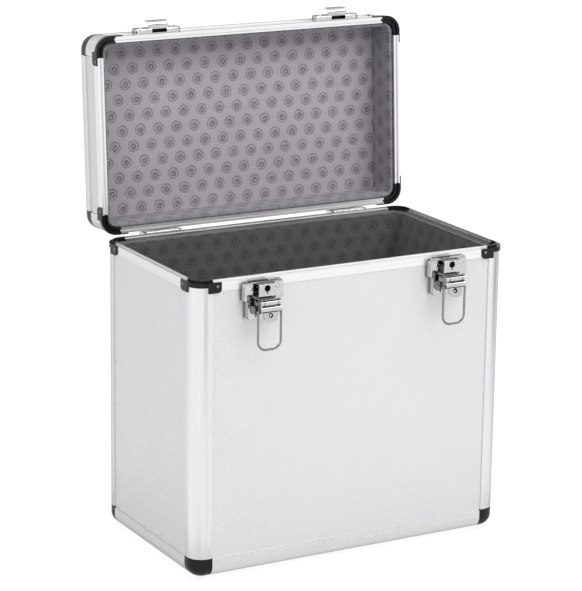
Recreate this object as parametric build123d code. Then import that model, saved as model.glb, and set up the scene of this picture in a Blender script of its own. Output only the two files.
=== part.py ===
from build123d import *
from math import atan2, cos, radians, sin, sqrt
import os

# Record carrying case: an open-topped body and a shallow lid, hinged at the back.
# Millimetres. +X runs to the right of the front face, +Y to the back, +Z up.
# The origin is on the floor, under the middle of the case as it stands open.
# Every piece is drawn with the middle of the body at x = y = 0 and moved there when written.
# The lid is drawn shut and is then turned back to its open stop.

os.makedirs("parts", exist_ok=True)

# ---- Overall size ----
CASE_WIDTH = 345.0
CASE_DEPTH = 196.0
BODY_HEIGHT = 293.5
LID_HEIGHT = 48.0
RIM_GAP = 0.4
OPEN_ANGLE = 93.6

# ---- Walls ----
PANEL_THICKNESS = 4.0
PROFILE_WALL = 1.0
LINING_THICKNESS = 4.0
LINING_DROP = 3.0
LINING_CORNER_GAP = 1.0
SLOT_CLEARANCE = 0.2
TOUCH = 1e-6

# ---- Rounded edge profiles ----
POST_RADIUS = 15.0
EDGE_RADIUS = 12.0
PROFILE_WING = 19.0
BALL_CORNER_SIZE = 20.0

# ---- Rims ----
RIM_BAND = 9.0
RIM_WEB = 2.0
TONGUE_THICKNESS = 1.4
TONGUE_HEIGHT = 2.0
GROOVE_CLEARANCE = 0.5
GROOVE_DEPTH = 2.6
GROOVE_FLOOR = 1.0

# ---- Moulded rim corners ----
RIM_CORNER_ARM = 20.0
RIM_CORNER_PROUD = 1.2
RIM_CORNER_SKIRT = 4.6
RIM_TAB_START = 14.0
RIM_TAB_END = 27.6
RIM_TAB_HEIGHT = 10.4
RIM_TAB_ROUND = 3.6
RIM_TAB_RIVET_INSET = 4.0
CORNER_LINE_WIDTH = 0.6
CORNER_LINE_DEPTH = 0.5

# ---- Rivets and feet ----
RIVET_RADIUS = 2.1
RIVET_HEIGHT = 0.9
TAB_RIVET_RADIUS = 1.4
TAB_RIVET_HEIGHT = 0.5
FOOT_RADIUS = 8.0
FOOT_HEIGHT = 4.0
FOOT_TAPER = 1.0
FOOT_INSET = 34.0

# ---- Latch base ----
LATCH_INSET = 70.0
LATCH_DROP = 2.5
BASE_WIDTH = 45.0
BASE_LOWER_WIDTH = 37.5
BASE_HEIGHT = 38.0
BASE_STEP_DROP = 19.0
BASE_FLANGE = 1.2
BASE_OUT = 6.0
BASE_FLANGE_WIDTH = 1.0
BASE_ROUND = 4.0
BASE_STEP_ROUND = 1.2
BASE_TAPER_ANGLE = 10.0
BASE_RIVET_SPACING = 28.8
BASE_RIVET_DROP = 6.4
EAR_SLOT_WIDTH = 1.6
EAR_SLOT_LENGTH = 11.0
EAR_SLOT_DEPTH = 3.0
EAR_SLOT_DROP = 26.0

# ---- Latch hood and lock ----
HOOD_WIDTH = 17.6
HOOD_HEIGHT = 15.6
HOOD_OUT = 12.5
HOOD_SHEET = 1.2
HOOD_ROUND = 2.0
HOOD_DROP = 1.0
KEYHOLE_RADIUS = 3.2
KEYHOLE_DROP = 5.9
KEYHOLE_SLOT_WIDTH = 1.8
KEYHOLE_SLOT_LENGTH = 5.2
HOOD_SLIT_WIDTH = 15.8
HOOD_SLIT_HEIGHT = 2.0
HOOD_SLIT_DROP = 14.4
BARREL_RADIUS = 3.4
BARREL_BORE = 2.7
BARREL_FLOOR = 1.0
BARREL_END_GAP = 0.3
BARREL_PIN_RADIUS = 1.1
RUNNING_CLEARANCE = 0.05

# ---- Latch lever ----
LEVER_PIVOT_OUT = 16.8
LEVER_PIVOT_DROP = 21.0
LEVER_PIN_RADIUS = 1.2
EAR_OUTER = 7.9
EAR_THICKNESS = 1.2
EAR_END_RADIUS = 3.2
EAR_ROOT_TOP = 24.0
EAR_ROOT_LENGTH = 8.0
EAR_ROOT_DEPTH = 1.0
EAR_CLEARANCE = 0.3
LEVER_SHEET = 1.0
LEVER_ROLL_RADIUS = 2.6
LEVER_LOBE_DROP = 5.9
LEVER_LOBE_OUT = 3.5
LEVER_NECK_ANGLE = 27.0
LEVER_SLOT_REACH = 3.7
TAB_WIDTH = 16.0
TAB_LENGTH = 18.5
TAB_FLARE = 4.4
TAB_HOLE_RADIUS = 1.4
TAB_HOLE_INSET = 6.6
FLANGE_THICKNESS = 1.0

# ---- Wire bail ----
WIRE_RADIUS = 1.0
BAIL_SPAN = 24.4
BAIL_LENGTH = 38.3
BAIL_BEND = 8.5
BAIL_TIP_BEND = 1.3
BAIL_PIVOT_OUT = 17.2
BAIL_PIVOT_DROP = 28.5
BAIL_EYE_RADIUS = 2.4

# ---- Strike on the lid ----
STRIKE_WIDTH = 50.0
STRIKE_HEIGHT = 16.0
STRIKE_OUT = 5.5
STRIKE_END_ROUND = 6.0
STRIKE_FACE_ROUND = 2.0
STRIKE_RISE = 5.0
STRIKE_PAD_MARGIN = 4.0
STRIKE_WINDOW_WIDTH = 16.0
STRIKE_WINDOW_DEPTH = 4.5
STRIKE_WINDOW_FLOOR = 1.0
HOOK_OUT = 12.4
HOOK_HEIGHT = 9.0
HOOK_SHEET = 1.2
HOOK_BEND = 4.0
HOOK_SIDE_CLEARANCE = 0.5
HOOK_WIRE_OUT = 8.0
STRIKE_RIVET_SPACING = 34.0

# ---- Stop hinges ----
HINGE_INSET = 64.5
HINGE_OFFSET = 3.5
KNUCKLE_RADIUS = 2.9
KNUCKLE_ZONE = 36.0
KNUCKLE_SIDE = 9.0
KNUCKLE_GAP = 0.3
KNUCKLE_ROOT = 2.0
HINGE_PIN_RADIUS = 1.3
LEAF_THICKNESS = 1.5
LEAF_WIDTH = 44.0
LEAF_HEIGHT = 30.0
LEAF_ROUND = 4.0
LEAF_EDGE_GAP = 0.5
STOP_WIDTH = 3.0
STOP_REACH = 9.0
STOP_DROP = 12.0
STOP_TIP_DROP = 1.0
HINGE_RIVET_SPACING = 26.0
HINGE_RIVET_INSET = 8.0

# ---- Carrying handle ----
HANDLE_SPAN = 104.0
HANDLE_REACH = 42.0
HANDLE_ROD_RADIUS = 3.0
HANDLE_BEND = 8.0
HANDLE_AXIS_HEIGHT = 6.0
GRIP_LENGTH = 82.0
GRIP_RADIUS = 7.4
GRIP_END_RADIUS = 6.0
GRIP_END_ROUND = 1.5
GRIP_GROOVE = 0.7
GRIP_GROOVE_WIDTH = 3.0
GRIP_GROOVE_COUNT = 5
GRIP_GROOVE_PITCH = 14.0
SADDLE_LENGTH = 12.0
SADDLE_WALL = 1.6
SADDLE_SIDE_GAP = 0.5
BRACKET_LENGTH = 38.0
BRACKET_SHEET = 1.5
BRACKET_RIVET_SPACING = 26.0

# ---- Sizes that follow ----
HALF_WIDTH = CASE_WIDTH / 2
HALF_DEPTH = CASE_DEPTH / 2
WALL_DEPTH = PANEL_THICKNESS + 2 * PROFILE_WALL
PANEL_DEPTH = PROFILE_WALL + PANEL_THICKNESS / 2
PANEL_MARGIN = max(POST_RADIUS, EDGE_RADIUS) + SLOT_CLEARANCE
LINING_WIDTH = CASE_WIDTH - 2 * WALL_DEPTH
LINING_DEPTH = CASE_DEPTH - 2 * WALL_DEPTH
LINING_OUTER_CORNER = POST_RADIUS - WALL_DEPTH + LINING_CORNER_GAP
LINING_INNER_CORNER = LINING_OUTER_CORNER - LINING_THICKNESS
SHELL_BOTTOM = FOOT_HEIGHT
RIM_TOP = SHELL_BOTTOM + BODY_HEIGHT
LID_MOUTH = RIM_TOP + RIM_GAP
LID_TOP = LID_MOUTH + LID_HEIGHT
GROOVE_WEB = GROOVE_DEPTH + GROOVE_FLOOR
GROOVE_WIDTH = TONGUE_THICKNESS + 2 * GROOVE_CLEARANCE
HINGE_Y = HALF_DEPTH + HINGE_OFFSET
HINGE_Z = RIM_TOP + RIM_GAP / 2
LATCH_X = HALF_WIDTH - LATCH_INSET
HINGE_X = HALF_WIDTH - HINGE_INSET
BAIL_HALF = BAIL_SPAN / 2
LEVER_HALF = BAIL_HALF - WIRE_RADIUS - EAR_CLEARANCE
LEVER_ROLL = LEVER_ROLL_RADIUS + LEVER_SHEET / 2
LEVER_NECK_OUT = LEVER_ROLL * sin(radians(LEVER_NECK_ANGLE))
LEVER_NECK_DROP = LEVER_ROLL * cos(radians(LEVER_NECK_ANGLE))
SIDES = {"l": -1, "r": 1}
CORNERS = {"fl": (-1, -1), "fr": (1, -1), "bl": (-1, 1), "br": (1, 1)}

LID_HINGE_AXIS = Axis((0, HINGE_Y, HINGE_Z), (1, 0, 0))

# The latch levers reach furthest forward, and the grip on the open lid furthest back.
HANDLE_AXIS_Z = LID_TOP - PROFILE_WALL + HANDLE_AXIS_HEIGHT
OPEN_LEAN = radians(OPEN_ANGLE)
TAB_LEAN = atan2(TAB_FLARE - LEVER_NECK_OUT, TAB_LENGTH - 2 * LEVER_LOBE_DROP + LEVER_NECK_DROP)
OPEN_HANDLE_Y = HINGE_Y - HINGE_Y * cos(OPEN_LEAN) + (HANDLE_AXIS_Z - HINGE_Z) * sin(OPEN_LEAN)
FRONT_REACH = HALF_DEPTH + LEVER_PIVOT_OUT + TAB_FLARE + LEVER_SHEET / 2 * cos(TAB_LEAN)
BACK_REACH = OPEN_HANDLE_Y + GRIP_RADIUS
ORIGIN_BACK = (BACK_REACH - FRONT_REACH) / 2


def write(shape, name):
    """Writes one sub-part, measured from the origin under the middle of the open case."""
    shape = shape.translate((0, -ORIGIN_BACK, 0))
    shape.label = name
    export_step(shape, f"parts/{name}.step")


def write_open(shape, name):
    """Turns one sub-part of the lid back to the open stop and writes it."""
    write(shape.rotate(LID_HINGE_AXIS, -OPEN_ANGLE), name)


def group(pieces):
    """Several separate solids as one sub-part."""
    return Compound([piece.solid() for piece in pieces])


def across(profile, half_width):
    """Extrudes a side profile, drawn as (y, z), evenly to both sides along X."""
    return extrude(Plane.YZ * profile, amount=half_width, both=True)


def outward(outline, amount):
    """Extrudes a front outline, drawn as (x, z), out of the front face along -Y."""
    return extrude(Plane.XZ * outline, amount=amount)


def block(low, high):
    """A box between two opposite corners."""
    size = [b - a for a, b in zip(low, high)]
    return Pos(*low) * Box(*size, align=(Align.MIN, Align.MIN, Align.MIN))


def mirrored(shape, side_x, side_y):
    """A shape made for the front left corner, placed at another upright corner."""
    if side_x > 0:
        shape = shape.mirror(Plane.YZ)
    if side_y > 0:
        shape = shape.mirror(Plane.XZ)
    return shape


def at_four_corners(shape):
    """Four copies of a shape made for the front left corner."""
    return [mirrored(shape, *sides) for sides in CORNERS.values()]


def upside_down(shape, level):
    """Mirrors a shape drawn hanging below z = 0 so that it stands up from a level."""
    return Pos(0, 0, level) * shape.mirror(Plane.XY)


# ---- Rounded profiles, panels and ball corners ----

def edge_section(radius):
    """Section of an edge profile: rounded corner at the origin, panel slots along +X and +Y."""
    arm = Pos(PROFILE_WING / 2, WALL_DEPTH / 2) * Rectangle(PROFILE_WING, WALL_DEPTH)
    other_arm = Pos(WALL_DEPTH / 2, PROFILE_WING / 2) * Rectangle(WALL_DEPTH, PROFILE_WING)
    section = arm + other_arm
    outer = section.vertices().sort_by(lambda vertex: vertex.X + vertex.Y)[0]
    section = fillet(outer, radius)
    slot_middle = (radius + PROFILE_WING) / 2
    slot_length = PROFILE_WING - radius
    section -= Pos(slot_middle, PANEL_DEPTH) * Rectangle(slot_length, PANEL_THICKNESS)
    section -= Pos(PANEL_DEPTH, slot_middle) * Rectangle(PANEL_THICKNESS, slot_length)
    return section


def corner_post(bottom, top):
    """Upright profile at the front left corner."""
    post = extrude(edge_section(POST_RADIUS), amount=top - bottom)
    return Pos(-HALF_WIDTH, -HALF_DEPTH, bottom) * post


def bottom_edges():
    """Four rounded profiles round the bottom, between the ball corners."""
    section = edge_section(EDGE_RADIUS)
    long_half = HALF_WIDTH - BALL_CORNER_SIZE
    short_half = HALF_DEPTH - BALL_CORNER_SIZE
    front = Pos(0, -HALF_DEPTH, 0) * across(section, long_half)
    side_plane = Plane(origin=(-HALF_WIDTH, 0, 0), x_dir=(1, 0, 0), z_dir=(0, -1, 0))
    left = extrude(side_plane * section, amount=short_half, both=True)
    return [front, front.mirror(Plane.XZ), left, left.mirror(Plane.YZ)]


def wall_panels(edge, rim_web, height):
    """Front, back, left and right panels, from an edge at z = 0 to a rim at a height."""
    low = edge + SLOT_CLEARANCE
    high = height - rim_web - SLOT_CLEARANCE
    margin = PANEL_MARGIN
    inner = PROFILE_WALL + PANEL_THICKNESS
    front = block(
        (-HALF_WIDTH + margin, -HALF_DEPTH + PROFILE_WALL, low),
        (HALF_WIDTH - margin, -HALF_DEPTH + inner, high),
    )
    left = block(
        (-HALF_WIDTH + PROFILE_WALL, -HALF_DEPTH + margin, low),
        (-HALF_WIDTH + inner, HALF_DEPTH - margin, high),
    )
    return {
        "front": front,
        "back": front.mirror(Plane.XZ),
        "left": left,
        "right": left.mirror(Plane.YZ),
    }


def flat_panel():
    """The panel that closes the shell, its outer face one profile wall above z = 0."""
    margin = PANEL_MARGIN
    return block(
        (-HALF_WIDTH + margin, -HALF_DEPTH + margin, PROFILE_WALL),
        (HALF_WIDTH - margin, HALF_DEPTH - margin, PROFILE_WALL + PANEL_THICKNESS),
    )


def rounded_block(low, size, post_radius, edge_radius):
    """A box with its corner at low, rounded on the upright edge and the two bottom edges there."""
    solid = block((low, low, low), (size, size, size))

    def at_low(*coordinates):
        return all(abs(value - low) < TOUCH for value in coordinates)

    upright = [e for e in solid.edges() if at_low(e.center().X, e.center().Y)]
    solid = fillet(upright, post_radius)
    far = size - TOUCH
    lower = [
        e for e in solid.edges()
        if at_low(e.center().Z) and e.center().X < far and e.center().Y < far
    ]
    return fillet(lower, edge_radius)


def ball_corner():
    """Thin moulded cap on a bottom corner, flush with the profiles that meet there."""
    reach = 2 * BALL_CORNER_SIZE
    outer = rounded_block(0, reach, POST_RADIUS, EDGE_RADIUS)
    inner = rounded_block(
        PROFILE_WALL, reach, POST_RADIUS - PROFILE_WALL, EDGE_RADIUS - PROFILE_WALL
    )
    size = BALL_CORNER_SIZE
    cap = (outer - inner) & block((0, 0, 0), (size, size, size))
    return Pos(-HALF_WIDTH, -HALF_DEPTH, 0) * cap


# ---- Rims and moulded rim corners, drawn with the rim face at z = 0 and the wall below ----

def rim_section(web, tongue):
    """Rim section as (depth from the outer face, z), with a tongue on it or a groove in it."""
    section = Pos(WALL_DEPTH / 2, -web / 2) * Rectangle(WALL_DEPTH, web)
    for middle in (PROFILE_WALL / 2, WALL_DEPTH - PROFILE_WALL / 2):
        section += Pos(middle, -RIM_BAND / 2) * Rectangle(PROFILE_WALL, RIM_BAND)
    middle = WALL_DEPTH / 2
    if tongue:
        return section + Pos(middle, TONGUE_HEIGHT / 2) * Rectangle(TONGUE_THICKNESS, TONGUE_HEIGHT)
    return section - Pos(middle, -GROOVE_DEPTH / 2) * Rectangle(GROOVE_WIDTH, GROOVE_DEPTH)


def rims(web, tongue):
    """Front, back, left and right rim profiles between the rim corners."""
    section = rim_section(web, tongue)
    long_half = HALF_WIDTH - RIM_CORNER_ARM
    short_half = HALF_DEPTH - RIM_CORNER_ARM
    front = Pos(0, -HALF_DEPTH, 0) * across(section, long_half)
    side_plane = Plane(origin=(-HALF_WIDTH, 0, 0), x_dir=(1, 0, 0), z_dir=(0, -1, 0))
    left = extrude(side_plane * section, amount=short_half, both=True)
    return {
        "front": front,
        "back": front.mirror(Plane.XZ),
        "left": left,
        "right": left.mirror(Plane.YZ),
    }


def corner_strip(near, far, arm):
    """L-shaped strip round the corner post, between two depths from the outer face."""
    def rounded(depth):
        side = 2 * RIM_TAB_END
        square = Pos(depth + side / 2, depth + side / 2) * Rectangle(side, side)
        corner = square.vertices().sort_by(lambda vertex: vertex.X + vertex.Y)[0]
        return fillet(corner, POST_RADIUS - depth)

    reach = arm - near
    window = Pos(near + reach / 2, near + reach / 2) * Rectangle(reach, reach)
    return (rounded(near) - rounded(far)) & window


def rim_corner(web, tongue):
    """Moulded corner over the rim ends: face plate, skirt and two riveted tabs."""
    proud = RIM_CORNER_PROUD
    plate = extrude(corner_strip(-proud, WALL_DEPTH, RIM_CORNER_ARM), amount=-web)
    skirt = extrude(corner_strip(-proud, 0, RIM_TAB_END), amount=-RIM_TAB_HEIGHT)
    skirt -= block(
        (-proud, -proud, -RIM_TAB_HEIGHT), (RIM_TAB_START, RIM_TAB_START, -RIM_CORNER_SKIRT)
    )
    tab_ends = [
        edge for edge in skirt.edges()
        if abs(edge.center().Z + RIM_TAB_HEIGHT) < TOUCH and abs(edge.length - proud) < TOUCH
    ]
    skirt = fillet(tab_ends, RIM_TAB_ROUND)
    corner = plate + skirt
    middle = WALL_DEPTH / 2
    half = (TONGUE_THICKNESS if tongue else GROOVE_WIDTH) / 2
    seam = corner_strip(middle - half, middle + half, RIM_CORNER_ARM)
    if tongue:
        corner += extrude(seam, amount=TONGUE_HEIGHT)
    else:
        corner -= extrude(seam, amount=-GROOVE_DEPTH)
    line_strip = corner_strip(0, CORNER_LINE_WIDTH, RIM_CORNER_ARM)
    line = extrude(line_strip, amount=-CORNER_LINE_DEPTH)
    return Pos(-HALF_WIDTH, -HALF_DEPTH, 0) * (corner - line)


# ---- Linings ----

def wall_lining(bottom, top):
    """Foam band round the inside of the walls."""
    outer = RectangleRounded(LINING_WIDTH, LINING_DEPTH, LINING_OUTER_CORNER)
    inset = 2 * LINING_THICKNESS
    inner = RectangleRounded(LINING_WIDTH - inset, LINING_DEPTH - inset, LINING_INNER_CORNER)
    return Pos(0, 0, bottom) * extrude(outer - inner, amount=top - bottom)


def flat_lining():
    """Foam sheet over the closing panel, its outer face on the inner legs of the profiles."""
    sheet = RectangleRounded(LINING_WIDTH, LINING_DEPTH, LINING_OUTER_CORNER)
    return Pos(0, 0, WALL_DEPTH) * extrude(sheet, amount=LINING_THICKNESS)


# ---- Rivets and feet ----

def rivet(radius=RIVET_RADIUS, height=RIVET_HEIGHT):
    """Low domed rivet head standing on z = 0."""
    dome_radius = (radius ** 2 + height ** 2) / (2 * height)
    dome = Pos(0, 0, height - dome_radius) * Sphere(dome_radius)
    return dome & Cylinder(radius, height, align=(Align.CENTER, Align.CENTER, Align.MIN))


def front_rivet(x, out, z):
    """Rivet on the front, its seat a distance out from the front face of the case."""
    return Pos(x, -HALF_DEPTH - out, z) * Rot(90, 0, 0) * rivet()


def back_rivet(x, out, z):
    """Rivet on the back, its seat a distance out from the back face of the case."""
    return Pos(x, HALF_DEPTH + out, z) * Rot(-90, 0, 0) * rivet()


def rim_tab_rivets(z):
    """One small rivet near the end of each rim corner tab."""
    along = RIM_TAB_END - RIM_TAB_RIVET_INSET
    head = rivet(TAB_RIVET_RADIUS, TAB_RIVET_HEIGHT)
    out = RIM_CORNER_PROUD
    front_left = [
        Pos(-HALF_WIDTH + along, -HALF_DEPTH - out, z) * Rot(90, 0, 0) * head,
        Pos(-HALF_WIDTH - out, -HALF_DEPTH + along, z) * Rot(0, -90, 0) * head,
    ]
    return [copy for one in front_left for copy in at_four_corners(one)]


def foot():
    """Rubber foot on the bottom panel, slightly narrower at the floor."""
    height = FOOT_HEIGHT + PROFILE_WALL
    on_floor = (Align.CENTER, Align.CENTER, Align.MIN)
    cone = Cone(FOOT_RADIUS - FOOT_TAPER, FOOT_RADIUS, height, align=on_floor)
    return Pos(-HALF_WIDTH + FOOT_INSET, -HALF_DEPTH + FOOT_INSET, 0) * cone


# ---- Draw latch, drawn about its own middle on the front face, z = 0 at the rim face ----
# Distances out from the face are negative y.

def place_latch(shape, side):
    """Moves a latch piece to the left (-1) or right (1) latch."""
    return Pos(side * LATCH_X, -HALF_DEPTH, RIM_TOP) * shape


def base_outline(inset):
    """Stepped outline of the base: a wide upper part and a narrower lower part."""
    top = -LATCH_DROP - inset
    bottom = -LATCH_DROP - BASE_HEIGHT + inset
    step = -LATCH_DROP - BASE_STEP_DROP
    half = BASE_WIDTH / 2 - inset
    lower_half = BASE_LOWER_WIDTH / 2 - inset
    upper = Pos(0, (top + step) / 2) * Rectangle(2 * half, top - step)
    lower = Pos(0, (top + bottom) / 2) * Rectangle(2 * lower_half, top - bottom)
    outline = upper + lower
    ends = [v for v in outline.vertices() if v.Y > top - TOUCH or v.Y < bottom + TOUCH]
    outline = fillet(ends, BASE_ROUND - inset)
    return fillet([v for v in outline.vertices() if abs(v.Y - step) < TOUCH], BASE_STEP_ROUND)


def latch_hood():
    """Bent strip over the lock: a front plate on two returns, open at both sides."""
    top = -LATCH_DROP - HOOD_DROP
    rise = HOOD_OUT - BASE_OUT
    middle_y = -(BASE_OUT + HOOD_OUT) / 2
    middle_z = top - HOOD_HEIGHT / 2
    outer = Pos(middle_y, middle_z) * Rectangle(rise, HOOD_HEIGHT)
    inner_rise = rise - HOOD_SHEET
    inner_y = -BASE_OUT - inner_rise / 2
    inner = Pos(inner_y, middle_z) * Rectangle(inner_rise, HOOD_HEIGHT - 2 * HOOD_SHEET)
    front_corners = [v for v in outer.vertices() if v.X < middle_y]
    outer = fillet(front_corners, HOOD_ROUND)
    hood = across(outer - inner, HOOD_WIDTH / 2)
    keyhole = Pos(0, -LATCH_DROP - KEYHOLE_DROP) * Circle(KEYHOLE_RADIUS)
    slot_z = -LATCH_DROP - KEYHOLE_DROP - KEYHOLE_SLOT_LENGTH / 2
    keyhole += Pos(0, slot_z) * Rectangle(KEYHOLE_SLOT_WIDTH, KEYHOLE_SLOT_LENGTH)
    slit_z = -LATCH_DROP - HOOD_SLIT_DROP
    slit = Pos(0, slit_z) * Rectangle(HOOD_SLIT_WIDTH, HOOD_SLIT_HEIGHT)
    cut_start = Pos(0, -HOOD_OUT + HOOD_SHEET, 0)
    return hood - cut_start * outward(keyhole + slit, HOOD_SHEET)


def latch_ears():
    """Two ears that carry the lever pin, standing out from the base."""
    root_top = -EAR_ROOT_TOP
    root_bottom = root_top - EAR_ROOT_LENGTH
    tip = Pos(-LEVER_PIVOT_OUT, -LEVER_PIVOT_DROP) * Circle(EAR_END_RADIUS)
    root = Rectangle(EAR_ROOT_DEPTH, EAR_ROOT_LENGTH)
    root = Pos(-BASE_OUT + EAR_ROOT_DEPTH / 2, (root_top + root_bottom) / 2) * root
    profile = make_hull(root.edges() + tip.edges())
    profile -= Pos(-LEVER_PIVOT_OUT, -LEVER_PIVOT_DROP) * Circle(LEVER_PIN_RADIUS)
    one = extrude(Plane.YZ * profile, amount=EAR_THICKNESS)
    right = Pos(EAR_OUTER - EAR_THICKNESS, 0, 0) * one
    return right + right.mirror(Plane.YZ)


def latch_base():
    """Stamped base: flange, raised plate, hood, ears, the slots behind them and a lock pin."""
    base = outward(base_outline(0), BASE_FLANGE)
    raised = extrude(
        Plane.XZ.offset(BASE_FLANGE) * base_outline(BASE_FLANGE_WIDTH),
        amount=BASE_OUT - BASE_FLANGE, taper=BASE_TAPER_ANGLE,
    )
    base += raised
    seat_bottom = -LATCH_DROP - BASE_HEIGHT + BASE_ROUND
    seat_half = BASE_LOWER_WIDTH / 2 - BASE_ROUND
    seat_top = -RIM_BAND - SLOT_CLEARANCE
    base += block((-seat_half, 0, seat_bottom), (seat_half, PROFILE_WALL, seat_top))
    slot_x = EAR_OUTER + EAR_SLOT_WIDTH / 2
    for side in SIDES.values():
        middle = side * slot_x
        base -= block(
            (middle - EAR_SLOT_WIDTH / 2, -BASE_OUT, -EAR_SLOT_DROP - EAR_SLOT_LENGTH),
            (middle + EAR_SLOT_WIDTH / 2, -BASE_OUT + EAR_SLOT_DEPTH, -EAR_SLOT_DROP),
        )
    base += latch_hood() + latch_ears()
    pin_length = HOOD_OUT - HOOD_SHEET - BASE_OUT
    pin = outward(Pos(0, -LATCH_DROP - KEYHOLE_DROP) * Circle(BARREL_PIN_RADIUS), pin_length)
    return base + Pos(0, -BASE_OUT, 0) * pin


def lock_barrel():
    """Barrel behind the keyhole, turning on the pin of the base, open to the key at its front."""
    length = HOOD_OUT - HOOD_SHEET - BASE_OUT - 2 * BARREL_END_GAP
    middle = Pos(0, -LATCH_DROP - KEYHOLE_DROP)
    start = Pos(0, -BASE_OUT - BARREL_END_GAP, 0)
    barrel = start * outward(middle * Circle(BARREL_RADIUS), length)
    barrel -= start * outward(middle * Circle(BARREL_PIN_RADIUS + RUNNING_CLEARANCE), length)
    hollow_start = Pos(0, -BASE_OUT - BARREL_END_GAP - BARREL_FLOOR, 0)
    return barrel - hollow_start * outward(middle * Circle(BARREL_BORE), length)


def lever_sheet_line():
    """Middle line of the lever's sheet as (y, z): rolled top, lower lobe, then the finger tab."""
    y, z = -LEVER_PIVOT_OUT, -LEVER_PIVOT_DROP
    neck = (y - LEVER_NECK_OUT, z - LEVER_NECK_DROP)
    lobe = (y - LEVER_LOBE_OUT, z - LEVER_LOBE_DROP)
    root = (y - LEVER_NECK_OUT, 2 * lobe[1] - neck[1])
    tip = (y - TAB_FLARE, z - TAB_LENGTH)
    rolled = ThreePointArc((y, z + LEVER_ROLL), (y - LEVER_ROLL, z), neck)
    return Curve() + [rolled, ThreePointArc(neck, lobe, root), Line(root, tip)]


def latch_lever():
    """Sheet lever: a rolled top slotted for the ears, two flanges and a half-round finger tab."""
    sheet = across(trace(lever_sheet_line(), LEVER_SHEET), LEVER_HALF)
    lobe_z = -LEVER_PIVOT_DROP - LEVER_LOBE_DROP
    shoulder = lobe_z - LEVER_NECK_DROP
    tab_end = -LEVER_PIVOT_DROP - TAB_LENGTH
    half = TAB_WIDTH / 2
    outline = Pos(0, shoulder / 2) * Rectangle(2 * LEVER_HALF, -shoulder)
    straight = shoulder - tab_end - half
    outline += Pos(0, shoulder - straight / 2) * Rectangle(TAB_WIDTH, straight)
    outline += Pos(0, tab_end + half) * Circle(half)
    outline -= Pos(0, tab_end + TAB_HOLE_INSET) * Circle(TAB_HOLE_RADIUS)
    slot_height = LEVER_PIVOT_DROP + LEVER_SLOT_REACH
    slot_inner = EAR_OUTER - EAR_THICKNESS - EAR_CLEARANCE
    slot_width = EAR_OUTER + EAR_CLEARANCE - slot_inner
    for side in SIDES.values():
        slot_x = side * (slot_inner + slot_width / 2)
        outline -= Pos(slot_x, -slot_height / 2) * Rectangle(slot_width, slot_height)
    lever = sheet & outward(outline, 2 * LEVER_PIVOT_OUT)
    pivot = Pos(-LEVER_PIVOT_OUT, -LEVER_PIVOT_DROP)
    eye = Pos(-BAIL_PIVOT_OUT, -BAIL_PIVOT_DROP)
    lobe = Pos(-LEVER_PIVOT_OUT - LEVER_LOBE_OUT + LEVER_ROLL_RADIUS, lobe_z)
    rounds = [
        pivot * Circle(LEVER_ROLL),
        eye * Circle(BAIL_EYE_RADIUS),
        lobe * Circle(LEVER_ROLL_RADIUS),
    ]
    flange = make_hull([edge for one in rounds for edge in one.edges()])
    right = extrude(Plane.YZ * flange, amount=FLANGE_THICKNESS)
    right = Pos(LEVER_HALF - FLANGE_THICKNESS, 0, 0) * right
    lever += right + right.mirror(Plane.YZ)
    lever -= across(pivot * Circle(LEVER_PIN_RADIUS + RUNNING_CLEARANCE), LEVER_HALF)
    return lever - across(eye * Circle(WIRE_RADIUS + RUNNING_CLEARANCE), LEVER_HALF)


def lever_pin():
    """Straight pin held in both ears, ending flush with the lever's flanges."""
    section = Pos(-LEVER_PIVOT_OUT, -LEVER_PIVOT_DROP) * Circle(LEVER_PIN_RADIUS)
    return across(section, LEVER_HALF)


def wire_bail():
    """Round wire loop whose two tips turn inward into the lever's flanges."""
    top = -BAIL_PIVOT_DROP
    bottom = top - BAIL_LENGTH
    tip = LEVER_HALF - FLANGE_THICKNESS
    right = [(tip, top), (BAIL_HALF, top), (BAIL_HALF, bottom)]
    points = right + [(-x, z) for x, z in reversed(right)]
    radii = [BAIL_TIP_BEND, BAIL_BEND, BAIL_BEND, BAIL_TIP_BEND]
    route = Plane.XZ * FilletPolyline(*points, radius=radii)
    start = Plane(origin=(tip, 0, top), z_dir=(1, 0, 0))
    wire = sweep(start * Circle(WIRE_RADIUS), path=route)
    return Pos(0, -BAIL_PIVOT_OUT, 0) * wire


def strike_wire_height():
    """Height above the rim face at which the raised bail's wire lies in the hook."""
    lean = BAIL_PIVOT_OUT - HOOK_WIRE_OUT
    return sqrt(BAIL_LENGTH ** 2 - lean ** 2) - BAIL_PIVOT_DROP


def strike_seat():
    """Height above the rim face of the middle of the strip under the wire."""
    return strike_wire_height() - WIRE_RADIUS - HOOK_SHEET / 2


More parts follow.
